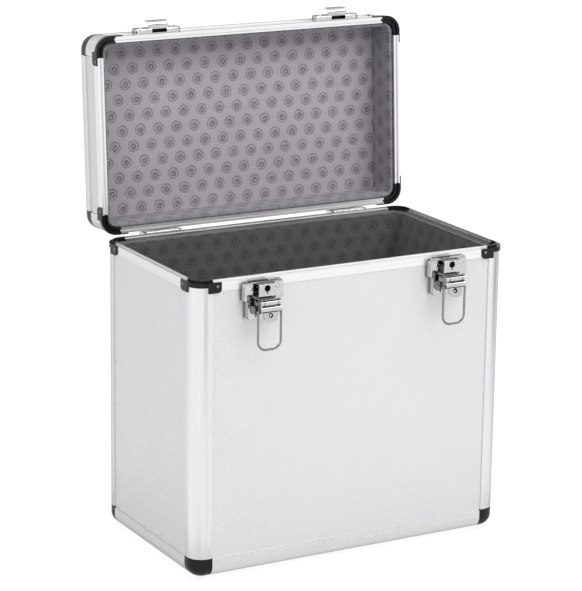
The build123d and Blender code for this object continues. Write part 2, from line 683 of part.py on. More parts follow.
def strike():
    """Raised plate with a strip hook that holds the bail, over a window in its lower side."""
    seat = strike_seat()
    middle = seat + STRIKE_RISE
    low = middle - STRIKE_HEIGHT / 2
    outline = RectangleRounded(STRIKE_WIDTH, STRIKE_HEIGHT, STRIKE_END_ROUND)
    plate = outward(Pos(0, middle) * outline, STRIKE_OUT)
    face_edges = [e for e in plate.edges() if abs(e.center().Y + STRIKE_OUT) < TOUCH]
    plate = fillet(face_edges, STRIKE_FACE_ROUND)
    window_half = STRIKE_WINDOW_WIDTH / 2
    window_front = STRIKE_OUT - STRIKE_WINDOW_FLOOR
    plate -= block(
        (-window_half, -window_front, low),
        (window_half, -STRIKE_WINDOW_FLOOR, low + STRIKE_WINDOW_DEPTH),
    )
    out = HOOK_OUT - HOOK_SHEET / 2
    corner = (-out, seat)
    root = -STRIKE_OUT + HOOK_SHEET
    line = FilletPolyline((root, seat), corner, (-out, seat + HOOK_HEIGHT), radius=HOOK_BEND)
    hook_half = BAIL_HALF - WIRE_RADIUS - HOOK_SIDE_CLEARANCE
    hook = across(trace(line, HOOK_SHEET), hook_half)
    pad_bottom = RIM_GAP + RIM_BAND + SLOT_CLEARANCE
    pad_top = middle + STRIKE_HEIGHT / 2 - STRIKE_PAD_MARGIN
    pad = block((-hook_half, 0, pad_bottom), (hook_half, PROFILE_WALL, pad_top))
    return plate + hook + pad


# ---- Stop hinge on the back, drawn about its own middle with the pin axis at y = z = 0 ----

def place_hinge(shape, side):
    """Moves a hinge piece to the left (-1) or right (1) hinge."""
    return Pos(side * HINGE_X, HINGE_Y, HINGE_Z) * shape


def leaf_plate(low, high, width):
    """Flat leaf against the back face, from one height to another."""
    outline = Pos(0, (low + high) / 2) * RectangleRounded(width, high - low, LEAF_ROUND)
    return Pos(0, -HINGE_OFFSET + LEAF_THICKNESS, 0) * outward(outline, LEAF_THICKNESS)


def knuckle(low_x, high_x, direction):
    """Rolled knuckle with the strip that joins it to the leaf below (-1) or above (1) the pin."""
    face = -HINGE_OFFSET + LEAF_THICKNESS / 2
    strip_z = direction * (KNUCKLE_RADIUS + LEAF_EDGE_GAP + KNUCKLE_ROOT / 2)
    strip = Pos(face, strip_z) * Rectangle(LEAF_THICKNESS, KNUCKLE_ROOT)
    roll = Circle(KNUCKLE_RADIUS)
    profile = make_hull(strip.edges() + roll.edges())
    return Pos(low_x, 0, 0) * extrude(Plane.YZ * profile, amount=high_x - low_x)


def pin_bore(radius):
    """A round bar along the pin axis, as long as all the knuckles."""
    return across(Circle(radius), KNUCKLE_ZONE / 2)


def hinge_body_leaf():
    """Leaf on the body with two outer knuckles and two stop cheeks under the open lid leaf."""
    edge = KNUCKLE_RADIUS + LEAF_EDGE_GAP
    leaf = leaf_plate(-edge - LEAF_HEIGHT, -edge, LEAF_WIDTH)
    half = KNUCKLE_ZONE / 2
    leaf += knuckle(half - KNUCKLE_SIDE, half, -1) + knuckle(-half, -half + KNUCKLE_SIDE, -1)
    leaf -= pin_bore(HINGE_PIN_RADIUS)
    face = -HINGE_OFFSET + LEAF_THICKNESS
    rest = HINGE_OFFSET - LEAF_THICKNESS

    def under_leaf(y):
        return (rest + y * cos(OPEN_LEAN)) / sin(OPEN_LEAN)

    cheek = make_face(Polyline(
        (face, -STOP_DROP), (face, under_leaf(face)), (STOP_REACH, under_leaf(STOP_REACH)),
        (STOP_REACH, -STOP_TIP_DROP), close=True,
    ))
    right = Pos(half + KNUCKLE_GAP, 0, 0) * extrude(Plane.YZ * cheek, amount=STOP_WIDTH)
    return leaf + right + right.mirror(Plane.YZ)


def hinge_lid_leaf():
    """Leaf on the lid with the middle knuckle."""
    edge = KNUCKLE_RADIUS + LEAF_EDGE_GAP
    leaf = leaf_plate(edge, edge + LEAF_HEIGHT, LEAF_WIDTH)
    half = KNUCKLE_ZONE / 2 - KNUCKLE_SIDE - KNUCKLE_GAP
    leaf += knuckle(-half, half, 1)
    return leaf - pin_bore(HINGE_PIN_RADIUS + RUNNING_CLEARANCE)


def hinge_rivets(direction):
    """Two rivets side by side on one leaf, in place on the left hinge."""
    edge = KNUCKLE_RADIUS + LEAF_EDGE_GAP
    z = HINGE_Z + direction * (edge + LEAF_HEIGHT - HINGE_RIVET_INSET)
    half = HINGE_RIVET_SPACING / 2
    return [back_rivet(-HINGE_X + side * half, LEAF_THICKNESS, z) for side in SIDES.values()]


# ---- Carrying handle, drawn on the shut lid and hanging plumb once the lid is open ----

def hang(shape):
    """Places a handle drawn along +Y from its own axis, tipped so that it hangs straight down."""
    return Pos(0, 0, HANDLE_AXIS_Z) * Rot(OPEN_ANGLE - 90, 0, 0) * shape


def handle_rod():
    """Bent rod: two legs, the bar inside the grip and two ends turned outward into the saddles."""
    half = HANDLE_SPAN / 2
    end = half + SADDLE_SIDE_GAP + SADDLE_LENGTH + HANDLE_BEND
    right = [(end, 0), (half, 0), (half, HANDLE_REACH)]
    points = right + [(-x, y) for x, y in reversed(right)]
    route = FilletPolyline(*points, radius=HANDLE_BEND)
    start = Plane(origin=(end, 0, 0), z_dir=(-1, 0, 0))
    return sweep(start * Circle(HANDLE_ROD_RADIUS), path=route)


def handle_grip():
    """Barrel-shaped moulded grip on the bar, with shallow finger grooves."""
    half = GRIP_LENGTH / 2
    crown = ThreePointArc((-half, GRIP_END_RADIUS), (0, GRIP_RADIUS), (half, GRIP_END_RADIUS))
    ends = Polyline((half, GRIP_END_RADIUS), (half, 0), (-half, 0), (-half, GRIP_END_RADIUS))
    body = revolve(make_face(Curve() + [crown, ends]), axis=Axis.X)
    end_edges = [e for e in body.edges() if abs(abs(e.center().X) - half) < TOUCH]
    body = fillet(end_edges, GRIP_END_ROUND)
    ring = Cylinder(2 * GRIP_RADIUS, GRIP_GROOVE_WIDTH)
    ring -= Cylinder(GRIP_RADIUS - GRIP_GROOVE, GRIP_GROOVE_WIDTH)
    first = -(GRIP_GROOVE_COUNT - 1) / 2 * GRIP_GROOVE_PITCH
    for index in range(GRIP_GROOVE_COUNT):
        body -= Pos(first + index * GRIP_GROOVE_PITCH, 0, 0) * Rot(0, 90, 0) * ring
    body -= Rot(0, 90, 0) * Cylinder(HANDLE_ROD_RADIUS, GRIP_LENGTH)
    return Pos(0, HANDLE_REACH, 0) * body


def handle_bracket():
    """Plate and saddle that holds one turned end of the rod, at the right end of the handle."""
    outer = HANDLE_ROD_RADIUS + RUNNING_CLEARANCE + SADDLE_WALL
    start = HANDLE_SPAN / 2 + HANDLE_BEND + SADDLE_SIDE_GAP
    base_z = -HANDLE_AXIS_HEIGHT
    plate = Pos(0, base_z + BRACKET_SHEET / 2) * Rectangle(BRACKET_LENGTH, BRACKET_SHEET)
    riser = Pos(0, base_z / 2) * Rectangle(2 * outer, HANDLE_AXIS_HEIGHT)
    profile = plate + riser + Circle(outer) - Circle(HANDLE_ROD_RADIUS + RUNNING_CLEARANCE)
    bracket = Pos(start, 0, 0) * extrude(Plane.YZ * profile, amount=SADDLE_LENGTH)
    return Pos(0, 0, HANDLE_AXIS_Z) * bracket


def handle_rivets():
    """Two rivets on each bracket."""
    x = HANDLE_SPAN / 2 + HANDLE_BEND + SADDLE_SIDE_GAP + SADDLE_LENGTH / 2
    z = LID_TOP - PROFILE_WALL + BRACKET_SHEET
    half = BRACKET_RIVET_SPACING / 2
    return [
        Pos(side_x * x, side_y * half, z) * rivet()
        for side_x in SIDES.values() for side_y in SIDES.values()
    ]


# ---- Assembly ----

def write_body():
    lift = Pos(0, 0, SHELL_BOTTOM)
    for side, panel in wall_panels(EDGE_RADIUS, RIM_WEB, BODY_HEIGHT).items():
        write(lift * panel, f"body_panel_{side}")
    write(lift * flat_panel(), "body_panel_bottom")
    post = corner_post(SHELL_BOTTOM + BALL_CORNER_SIZE, RIM_TOP - RIM_WEB)
    write(group(at_four_corners(post)), "body_corner_posts")
    write(group([lift * edge for edge in bottom_edges()]), "body_bottom_edges")
    write(group([lift * ball for ball in at_four_corners(ball_corner())]), "body_ball_corners")
    for side, rim in rims(RIM_WEB, True).items():
        write(Pos(0, 0, RIM_TOP) * rim, f"body_rim_{side}")
    corner = Pos(0, 0, RIM_TOP) * rim_corner(RIM_WEB, True)
    for name, sides in CORNERS.items():
        write(mirrored(corner, *sides), f"body_rim_corner_{name}")
    floor = SHELL_BOTTOM + WALL_DEPTH + LINING_THICKNESS
    write(wall_lining(floor, RIM_TOP - LINING_DROP), "body_lining_walls")
    write(lift * flat_lining(), "body_lining_floor")
    write(group(at_four_corners(foot())), "body_feet")


def write_lid():
    def turned(shape):
        return upside_down(shape, LID_TOP)

    def at_mouth(shape):
        return upside_down(shape, LID_MOUTH)

    for side, panel in wall_panels(EDGE_RADIUS, GROOVE_WEB, LID_HEIGHT).items():
        write_open(turned(panel), f"lid_panel_{side}")
    write_open(turned(flat_panel()), "lid_panel_top")
    post = corner_post(LID_MOUTH + GROOVE_WEB, LID_TOP - BALL_CORNER_SIZE)
    write_open(group(at_four_corners(post)), "lid_corner_posts")
    write_open(group([turned(edge) for edge in bottom_edges()]), "lid_top_edges")
    balls = [turned(ball) for ball in at_four_corners(ball_corner())]
    write_open(group(balls), "lid_ball_corners")
    for side, rim in rims(GROOVE_WEB, False).items():
        write_open(at_mouth(rim), f"lid_rim_{side}")
    corner = at_mouth(rim_corner(GROOVE_WEB, False))
    for name, sides in CORNERS.items():
        write_open(mirrored(corner, *sides), f"lid_rim_corner_{name}")
    ceiling = LID_TOP - WALL_DEPTH - LINING_THICKNESS
    write_open(wall_lining(LID_MOUTH + LINING_DROP, ceiling), "lid_lining_walls")
    write_open(turned(flat_lining()), "lid_lining_top")


def write_latches():
    for name, side in SIDES.items():
        write(place_latch(latch_base(), side), f"latch_base_{name}")
        write(place_latch(lock_barrel(), side), f"lock_barrel_{name}")
        write(place_latch(latch_lever(), side), f"latch_lever_{name}")
        write(place_latch(wire_bail(), side), f"latch_bail_{name}")
        write_open(place_latch(strike(), side), f"latch_strike_{name}")
    write(group([place_latch(lever_pin(), side) for side in SIDES.values()]), "latch_pins")


def write_hinges_and_handle():
    for name, side in SIDES.items():
        write(place_hinge(hinge_body_leaf(), side), f"hinge_body_leaf_{name}")
        write_open(place_hinge(hinge_lid_leaf(), side), f"hinge_lid_leaf_{name}")
    pin = pin_bore(HINGE_PIN_RADIUS)
    write(group([place_hinge(pin, side) for side in SIDES.values()]), "hinge_pins")
    write_open(hang(handle_rod()), "handle_rod")
    write_open(hang(handle_grip()), "handle_grip")
    bracket = handle_bracket()
    write_open(group([bracket, bracket.mirror(Plane.YZ)]), "handle_brackets")


def write_rivets():
    write(group(rim_tab_rivets(RIM_TOP - RIM_TAB_RIVET_INSET)), "body_corner_rivets")
    write_open(group(rim_tab_rivets(LID_MOUTH + RIM_TAB_RIVET_INSET)), "lid_corner_rivets")
    body = []
    lid = handle_rivets()
    strike_z = RIM_TOP + strike_seat() + STRIKE_RISE
    for side in SIDES.values():
        for rivet_side in SIDES.values():
            x = side * LATCH_X + rivet_side * BASE_RIVET_SPACING / 2
            body.append(front_rivet(x, BASE_OUT, RIM_TOP - LATCH_DROP - BASE_RIVET_DROP))
            x = side * LATCH_X + rivet_side * STRIKE_RIVET_SPACING / 2
            lid.append(front_rivet(x, STRIKE_OUT, strike_z))
    for one in hinge_rivets(-1):
        body += [one, one.mirror(Plane.YZ)]
    for one in hinge_rivets(1):
        lid += [one, one.mirror(Plane.YZ)]
    write(group(body), "body_rivets")
    write_open(group(lid), "lid_rivets")


write_body()
write_lid()
write_latches()
write_hinges_and_handle()
write_rivets()
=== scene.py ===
"""Looks for a record carrying case: embossed panels, rounded profiles, draw latches and a foam lining.

Metres. +X runs to the right of the front, +Y to the hinged back, +Z up. The lid stands open at rest.
"""
from math import cos, pi, radians, sin

import bpy
import numpy as np
from mathutils import Matrix, Vector


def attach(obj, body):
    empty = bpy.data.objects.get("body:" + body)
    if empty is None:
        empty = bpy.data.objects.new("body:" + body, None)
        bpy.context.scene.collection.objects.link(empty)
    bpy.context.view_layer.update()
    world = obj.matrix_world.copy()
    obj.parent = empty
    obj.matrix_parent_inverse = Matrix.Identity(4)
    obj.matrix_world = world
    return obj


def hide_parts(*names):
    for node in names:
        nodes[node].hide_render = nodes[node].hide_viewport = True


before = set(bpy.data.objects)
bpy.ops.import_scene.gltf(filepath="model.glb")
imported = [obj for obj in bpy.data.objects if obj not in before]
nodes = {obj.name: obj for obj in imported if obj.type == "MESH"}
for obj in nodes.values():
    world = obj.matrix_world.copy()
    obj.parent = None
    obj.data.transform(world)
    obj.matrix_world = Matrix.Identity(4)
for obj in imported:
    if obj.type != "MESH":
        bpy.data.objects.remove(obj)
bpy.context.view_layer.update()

# ---- Sizes of the case ----
BODY_MIDDLE_Y = -0.024346
CASE_WIDTH, CASE_DEPTH = 0.345, 0.196
RIM_TOP, LID_MOUTH, LID_TOP = 0.2975, 0.2979, 0.3459
WALL_DEPTH, FOAM_THICKNESS, FOAM_DROP = 0.006, 0.004, 0.003
FOOT_HEIGHT, FOAM_CORNER, FOAM_FILL = 0.004, 0.010, 0.9
HINGE_Y, HINGE_Z = 0.1015, 0.2977
# KEYHOLE_Z, TAB_HOLE_Z, WINDOW_OUT, WINDOW_Z, the reaches, TAB_OUT and WINDOW_HALF place the painted shade in
# the keyholes, the tab holes and the strike windows.
LATCH_X, KEYHOLE_Z, TAB_HOLE_Z = 0.1025, 0.2891, 0.2646
WINDOW_OUT, WINDOW_Z = 0.00275, 0.30368
KEYHOLE_REACH, TAB_HOLE_REACH, TAB_OUT = 0.0026, 0.0023, 0.012
WINDOW_HALF = (0.0081, 0.00185, 0.0024)
OPEN_LEAN = radians(93.6)
FRONT_Y = BODY_MIDDLE_Y - CASE_DEPTH / 2
FOAM_WIDTH, FOAM_DEPTH = CASE_WIDTH - 2 * WALL_DEPTH, CASE_DEPTH - 2 * WALL_DEPTH
FOAM_FLOOR, LID_CEILING = FOOT_HEIGHT + WALL_DEPTH, LID_TOP - WALL_DEPTH

# ---- Round marks pressed into the foam: their rows, the dish of each, and its strokes in millimetres ----
MARK_PITCH, MARK_ROW, MARK_SHIFT = 0.0204, 0.0158, 0.585
MARK_START = (0.0169, 0.0152)
MARK_RADIUS, MARK_RIM = 0.0062, 0.0016
SHEET_DISH, BAND_DISH = 0.0003, 0.0004
SPIRAL_PITCH, SPIRAL_RADIUS, RAISED_RADIUS, RING_RADIUS = 2.5, 3.7, 4.4, 5.4
RING_DASHES, STROKE_WAVER = 13, 0.45

# ---- Slow swell of the foam, and how a sheet falls away at its edge ----
SHEET_SWELL, BAND_SWELL, BAND_SINK = 0.00015, 0.00018, 0.0002
EDGE_FALL, EDGE_REACH = 0.0006, 0.0016
LID_STEP, FLOOR_STEP, BAND_STEP = 0.0011, 0.0018, 0.0022

# ---- Emboss of the panels, and the colours of its hollows and crowns: the hollows are painted shade ----
EMBOSS_PITCH, EMBOSS_DEPTH = 0.0025, 0.00016
HOLLOW, CROWN = (0.50, 0.50, 0.515), (0.765, 0.765, 0.785)

# ---- Camera, its place measured from the middle of the body, and the height the lamps aim at ----
CAMERA_PLACE = (-1.22517, -2.15647, 0.90646)
CAMERA_AZIMUTH, CAMERA_ELEVATION, CAMERA_ROLL = 0.5113, 0.26127, 0.01385
CAMERA_LENS, SENSOR_WIDTH = 156.87, 36.0
LAMP_AIM = Vector((0, 0, 0.22))


# ================= Surfaces =================

def open_lid(points):
    """Turns points of the shut lid back to its open stop, about the hinge pin."""
    c, s = cos(OPEN_LEAN), sin(OPEN_LEAN)
    y, z = points[..., 1] - HINGE_Y, points[..., 2] - HINGE_Z
    return np.stack([points[..., 0], HINGE_Y + y * c + z * s, HINGE_Z - y * s + z * c], -1)


def in_frame(points):
    """Moves points measured from the middle of the body into the frame."""
    return points + np.array([0, BODY_MIDDLE_Y, 0])


def surface_piece(name, points, faces, uv, body, material):
    """Makes a smooth mesh piece from points, faces and one texture position for each point."""
    mesh = bpy.data.meshes.new(name)
    mesh.from_pydata(in_frame(points).reshape(-1, 3).tolist(), [], faces)
    layer = mesh.uv_layers.new(name="surface")
    corner_vertex = np.zeros(len(mesh.loops), np.int32)
    mesh.loops.foreach_get("vertex_index", corner_vertex)
    layer.data.foreach_set("uv", uv.reshape(-1, 2)[corner_vertex].ravel())
    mesh.polygons.foreach_set("use_smooth", np.ones(len(mesh.polygons), bool))
    mesh.materials.append(material)
    mesh.update()
    piece = bpy.data.objects.new(name, mesh)
    bpy.context.scene.collection.objects.link(piece)
    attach(piece, body)
    return piece


def grid_faces(rows, columns, wrap_rows=False, wrap_columns=False):
    """Quads between neighbouring points of a rows x columns grid, closed round where asked."""
    i = np.arange(rows if wrap_rows else rows - 1)[:, None]
    j = np.arange(columns if wrap_columns else columns - 1)[None, :]
    ni, nj = (i + 1) % rows, (j + 1) % columns
    quads = [i * columns + j, i * columns + nj, ni * columns + nj, ni * columns + j]
    return np.stack(np.broadcast_arrays(*quads), -1).reshape(-1, 4)


def pressed_marks(u, v):
    """Depth from 0 to 1 of the round marks: a flat-bottomed dish at every place of the slanting rows.

    The place in a row is u over the pitch, and every row is moved on from the last by MARK_SHIFT of a
    pitch; the dish is a smooth step of the distance to the nearest place.
    """
    row = np.round((v - MARK_START[1]) / MARK_ROW)
    along = (u - MARK_START[0]) / MARK_PITCH - MARK_SHIFT * row
    x = (along - np.round(along)) * MARK_PITCH
    y = v - MARK_START[1] - row * MARK_ROW
    t = np.clip((MARK_RADIUS - np.hypot(x, y)) / MARK_RIM + 0.5, 0, 1)
    return t * t * (3 - 2 * t)


def rounded_plan(x, y, half_x, half_y, radius):
    """Pulls the corners of a rectangle of points in to arcs: each corner square goes to a quarter disc."""
    ax, ay = np.abs(x) - (half_x - radius), np.abs(y) - (half_y - radius)
    inside = (ax > 0) & (ay > 0)
    a, b = np.clip(ax / radius, 0, 1), np.clip(ay / radius, 0, 1)
    px = half_x - radius + radius * a * np.sqrt(1 - b * b / 2)
    py = half_y - radius + radius * b * np.sqrt(1 - a * a / 2)
    return np.where(inside, np.sign(x) * px, x), np.where(inside, np.sign(y) * py, y)


def foam_sheet(name, seat, face, up, body, node, step, material, turn=None):
    """Flat foam sheet: its open face is a grid with the round marks pressed in, its back lies on the seat.

    Height is the face, less SHEET_DISH times the depth of the marks and a slow swell, and it falls
    away to the walls over the last 2 mm. up is +1 where the open face looks up, and -1 where down.
    """
    half_x, half_y = FOAM_WIDTH / 2, FOAM_DEPTH / 2
    columns, rows = int(FOAM_WIDTH / step) + 1, int(FOAM_DEPTH / step) + 1
    x, y = np.meshgrid(np.linspace(-half_x, half_x, columns), np.linspace(-half_y, half_y, rows))
    u, v = x + half_x, y + half_y
    edge = np.minimum(half_x - np.abs(x), half_y - np.abs(y))
    swell = SHEET_SWELL * np.sin(u * 41 + 0.6) * np.sin(v * 57 + 1.1) - SHEET_SWELL
    fall = EDGE_FALL * np.exp(-(edge / EDGE_REACH) ** 2)
    z = face + up * (swell - SHEET_DISH * pressed_marks(u, v) - fall)
    px, py = rounded_plan(x, y, half_x, half_y, FOAM_CORNER)
    top = np.stack([px, py, z], -1).reshape(-1, 3)
    index = np.arange(rows * columns).reshape(rows, columns)
    ring = np.concatenate([index[0, :-1], index[:-1, -1], index[-1, :0:-1], index[:0:-1, 0]])
    back = top[ring].copy()
    back[:, 2] = seat
    points = np.concatenate([top, back])
    quads = grid_faces(rows, columns)
    count = len(ring)
    k = np.arange(count)
    low = rows * columns + k
    next_low = rows * columns + (k + 1) % count
    sides = np.stack([ring, low, next_low, np.roll(ring, -1)], -1)
    closing = list(range(rows * columns + count - 1, rows * columns - 1, -1))
    faces = quads.tolist() + sides.tolist() + [closing]
    if up < 0:
        faces = [list(reversed(f)) for f in faces]
    uv = np.stack([u, v], -1).reshape(-1, 2)
    uv = np.concatenate([uv, uv[ring]])
    if turn:
        points = turn(points)
    piece = surface_piece(name, points, faces, uv, body, material)
    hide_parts(node)
    return piece


def ring_plan(half_x, half_y, radius, spacing):
    """Points, outward directions and run length round a rounded rectangle, evenly spaced by length."""
    straight = [2 * (half_x - radius), 2 * (half_y - radius)] * 2
    arc = radius * pi / 2
    total = sum(straight) + 4 * arc
    s = np.arange(int(total / spacing)) * total / int(total / spacing)
    centres = np.array([[1, -1], [1, 1], [-1, 1], [-1, -1]]) * [half_x - radius, half_y - radius]
    at, out = np.zeros((len(s), 2)), np.zeros((len(s), 2))
    start = 0.0
    for side in range(4):
        heading = side * pi / 2
        along = np.array([cos(heading), sin(heading)])
        normal = np.array([sin(heading), -cos(heading)])
        first = centres[side - 1] + normal * radius
        on = (s >= start) & (s < start + straight[side])
        at[on] = first + np.outer(s[on] - start, along)
        out[on] = normal
        start += straight[side]
        bend = (s >= start) & (s < start + arc)
        angle = heading - pi / 2 + (s[bend] - start) / radius
        out[bend] = np.stack([np.cos(angle), np.sin(angle)], -1)
        at[bend] = centres[side] + out[bend] * radius
        start += arc
    return at, out, s


def foam_band(name, low, high, lip_high, body, node, spacing, material, turn=None):
    """Foam band round the walls: a section with a rolled lip, carried round the rounded plan.

    The section runs up the inner face, over a half-round lip at the mouth, down the outer face
    and back under. The inner face dips by the depth of the marks and swells slowly.
    """
    at, out, s = ring_plan(FOAM_WIDTH / 2, FOAM_DEPTH / 2, FOAM_CORNER, spacing)
    height = high - low
    rise = np.linspace(0, 1, max(8, int(height / spacing)))
    half = FOAM_THICKNESS / 2
    straight = height - half
    lip = np.linspace(0, pi, 9)[1:-1]
    inset = np.concatenate([np.full(len(rise), 2 * half), half + half * np.cos(lip), [0.0, 0.0]])
    level = np.concatenate([rise * straight, straight + half * np.sin(lip), [straight, 0.0]])
    t, k = np.meshgrid(np.arange(len(inset)), np.arange(len(s)))
    depth, z = inset[t], level[t]
    u, v = s[k], z
    face = (t < len(rise)) & (t > 0)
    swell = BAND_SWELL * np.sin(u * 37) * np.sin(v * 52 + 0.8) + BAND_SINK
    depth = depth - np.where(face, swell + BAND_DISH * pressed_marks(u, v), 0)
    plan = at[k] - out[k] * depth[..., None]
    z = low + z if lip_high else high - z
    points = np.concatenate([plan, z[..., None]], -1).reshape(-1, 3)
    quads = grid_faces(len(s), len(inset), wrap_rows=True, wrap_columns=True)
    faces = (quads if lip_high else quads[:, ::-1]).tolist()
    uv = np.stack([u, v], -1)
    if turn:
        points = turn(points)
    piece = surface_piece(name, points, faces, uv, body, material)
    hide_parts(node)
    return piece


# ================= Finishes =================

class Finish:
    """One material: a main shader, and short calls that add nodes to it."""

    def __init__(self, name, color, **settings):
        self.material = bpy.data.materials.new(name)
        self.material.use_nodes = True
        self.tree = self.material.node_tree
        self.shader = self.tree.nodes["Principled BSDF"]
        self.shader.inputs["Base Color"].default_value = (*color, 1)
        for label, value in settings.items():
            self.shader.inputs[label.replace("_", " ")].default_value = value

    def add(self, kind, *sockets, **settings):
        node = self.tree.nodes.new(kind)
        for label, value in settings.items():
            setattr(node, label, value)
        for index, value in enumerate(sockets):
            self.feed(node.inputs[index], value)
        return node

    def feed(self, socket, value):
        if isinstance(value, bpy.types.NodeSocket):
            self.tree.links.new(value, socket)
        elif value is not None:
            socket.default_value = value

    def math(self, operation, a, b=None, c=None):
        return self.add("ShaderNodeMath", a, b, c, operation=operation).outputs[0]

    def length(self, x, y):
        """Length of the two values taken as one arrow."""
        squares = self.math("MULTIPLY", x, x), self.math("MULTIPLY", y, y)
        return self.math("SQRT", self.math("ADD", *squares))

    def place(self, lean=0.0):
        """Position on the piece, turned by lean about X to bring an open lid back level."""
        coordinates = self.add("ShaderNodeTexCoord").outputs["Object"]
        if not lean:
            return coordinates
        turn = self.add("ShaderNodeMapping", coordinates, vector_type="POINT")
        turn.inputs["Rotation"].default_value = (lean, 0, 0)
        return turn.outputs[0]

    def noise(self, place, scale, detail=2.0, roughness=0.5):
        node = self.add("ShaderNodeTexNoise")
        self.feed(node.inputs["Vector"], place)
        node.inputs["Scale"].default_value = scale
        node.inputs["Detail"].default_value = detail
        node.inputs["Roughness"].default_value = roughness
        return node.outputs[0]

    def span(self, value, low, high, to_low, to_high):
        """Maps a value from one range to another and holds it there."""
        node = self.add("ShaderNodeMapRange")
        limits = {"From Min": low, "From Max": high, "To Min": to_low, "To Max": to_high}
        for label, number in limits.items():
            node.inputs[label].default_value = number
        self.feed(node.inputs["Value"], value)
        return node.outputs[0]

    def blend_colors(self, factor, first, second):
        node = self.add("ShaderNodeMix", data_type="RGBA")
        self.feed(node.inputs["Factor"], factor)
        for socket, value in zip([s for s in node.inputs if s.type == "RGBA"], (first, second)):
            self.feed(socket, (*value, 1) if isinstance(value, tuple) else value)
        return next(s for s in node.outputs if s.type == "RGBA")

    def color(self, value):
        self.feed(self.shader.inputs["Base Color"], value)

    def rough(self, value):
        self.feed(self.shader.inputs["Roughness"], value)

    def darken(self, where):
        """Turns the colour black where the value is 1: painted shade in holes and recesses."""
        plain = self.shader.inputs["Base Color"].links[0].from_socket
        self.color(self.blend_colors(where, plain, (0.01, 0.01, 0.01)))

    def bump(self, height, distance, strength=1.0):
        node = self.add("ShaderNodeBump")
        node.inputs["Distance"].default_value = distance
        node.inputs["Strength"].default_value = strength
        self.feed(node.inputs["Height"], height)
        self.feed(self.shader.inputs["Normal"], node.outputs[0])


def embossed_sheet(name, first, second, lean=0.0, tone_scale=1.0):
    """Aluminium facing with a fine diamond emboss on the plane of two axes.

    The two diagonals of that plane make two triangle waves, and the smaller of them is a pyramid
    in each diamond. Hollows are painted darker, as painted shade, and tone and gloss drift a little
    over the sheet. tone_scale paints the whole sheet darker, as painted shade on the side sheets.
    """
    sheet = Finish(name, CROWN, Metallic=0.6, Roughness=0.42)
    place = sheet.place(lean)
    axes = sheet.add("ShaderNodeSeparateXYZ", place).outputs
    a = sheet.math("DIVIDE", axes[first], EMBOSS_PITCH)
    b = sheet.math("DIVIDE", axes[second], EMBOSS_PITCH)
    rising = sheet.math("PINGPONG", sheet.math("ADD", a, b), 0.5)
    falling = sheet.math("PINGPONG", sheet.math("SUBTRACT", a, b), 0.5)
    pyramid = sheet.math("MULTIPLY", sheet.math("MINIMUM", rising, falling), 2.0)
    cloud = sheet.noise(place, 14, 3)
    tone = sheet.span(pyramid, 0.0, 0.35, 0.0, 1.0)
    # Painted shade: tone_scale darkens the hollow and crown colours of a whole side sheet.
    hollow, crown = (tuple(c * tone_scale for c in color) for color in (HOLLOW, CROWN))
    base = sheet.blend_colors(tone, hollow, crown)
    shade = sheet.span(cloud, 0.35, 0.7, 0.0, 0.06)
    sheet.color(sheet.blend_colors(shade, base, (0.58, 0.58, 0.60)))
    sheet.rough(sheet.span(cloud, 0.3, 0.7, 0.38, 0.47))
    sheet.bump(pyramid, EMBOSS_DEPTH)
    return sheet.material


def satin_profile(name, along=None, lean=0.0, tone=0.775):
    """Extruded aluminium: fine lines along one axis, or fine grain, with tone changes and soft gloss. tone
    sets how light this copy is painted, as painted light and shade.
    """
    pale, deep = ((tone + step,) * 2 + (tone + step + 0.01,) for step in (0.035, -0.035))
    profile = Finish(name, pale, Metallic=1.0, Roughness=0.3)
    profile.shader.inputs["Specular Tint"].default_value = (0.5, 0.5, 0.5, 1)
    place = profile.place(lean)
    stretch = profile.add("ShaderNodeMapping", place)
    scale = [420.0, 420.0, 420.0]
    if along is not None:
        scale[along] = 4.0
    stretch.inputs["Scale"].default_value = scale
    lines = profile.noise(stretch.outputs[0], 1.0, 2)
    cloud = profile.noise(place, 9, 2)
    profile.color(profile.blend_colors(profile.span(lines, 0.3, 0.7, 0, 1), deep, pale))
    profile.rough(profile.span(cloud, 0.3, 0.7, 0.26, 0.36))
    return profile.material


def black_moulding():
    """Glossy black corner moulding with a fine orange-peel skin and a few paler scuffs."""
    black, worn_black = (0.008, 0.008, 0.009), (0.02, 0.02, 0.022)
    moulding = Finish("black_corner_moulding", black, Roughness=0.25)
    moulding.shader.inputs["Specular IOR Level"].default_value = 0.22
    place = moulding.place()
    skin = moulding.noise(place, 900, 2)
    scuff = moulding.noise(place, 160, 4, 0.7)
    worn = moulding.span(scuff, 0.62, 0.78, 0, 1)
    moulding.color(moulding.blend_colors(worn, black, worn_black))
    moulding.rough(moulding.span(scuff, 0.4, 0.7, 0.18, 0.36))
    moulding.bump(skin, 0.00006, 0.35)
    return moulding.material


def plated_steel(name, tone, low=0.05, high=0.09, edge=0.3, crescent=0.0, turn_away=(0.4, 0.8)):
    """Plated pressed steel: mirror-bright, painted darker where it turns away, rippled and patchy in gloss.

    crescent is how far the sides that turn away from the view go to black, between the two
    values of turn_away: a painted dark reflection.
    """
    pale, deep = (tone, tone, tone * 1.015), (tone - 0.05,) * 3
    plated = Finish(name, pale, Metallic=1.0, Roughness=low)
    plated.shader.inputs["Specular Tint"].default_value = (edge, edge, edge, 1)
    place = plated.place()
    ripple = plated.noise(place, 60, 0.5)
    haze = plated.noise(place, 110, 3)
    bright = plated.blend_colors(plated.span(haze, 0.35, 0.65, 0, 1), deep, pale)
    # Painted dark reflection: the colour goes to black where the surface turns away from the view.
    if crescent:
        facing = plated.add("ShaderNodeLayerWeight").outputs["Facing"]
        bright = plated.blend_colors(plated.span(facing, *turn_away, 0, crescent), bright, (0.02, 0.02, 0.02))
    plated.color(bright)
    plated.rough(plated.span(haze, 0.3, 0.7, low, high))
    plated.bump(ripple, 0.0016, 0.5)
    return plated


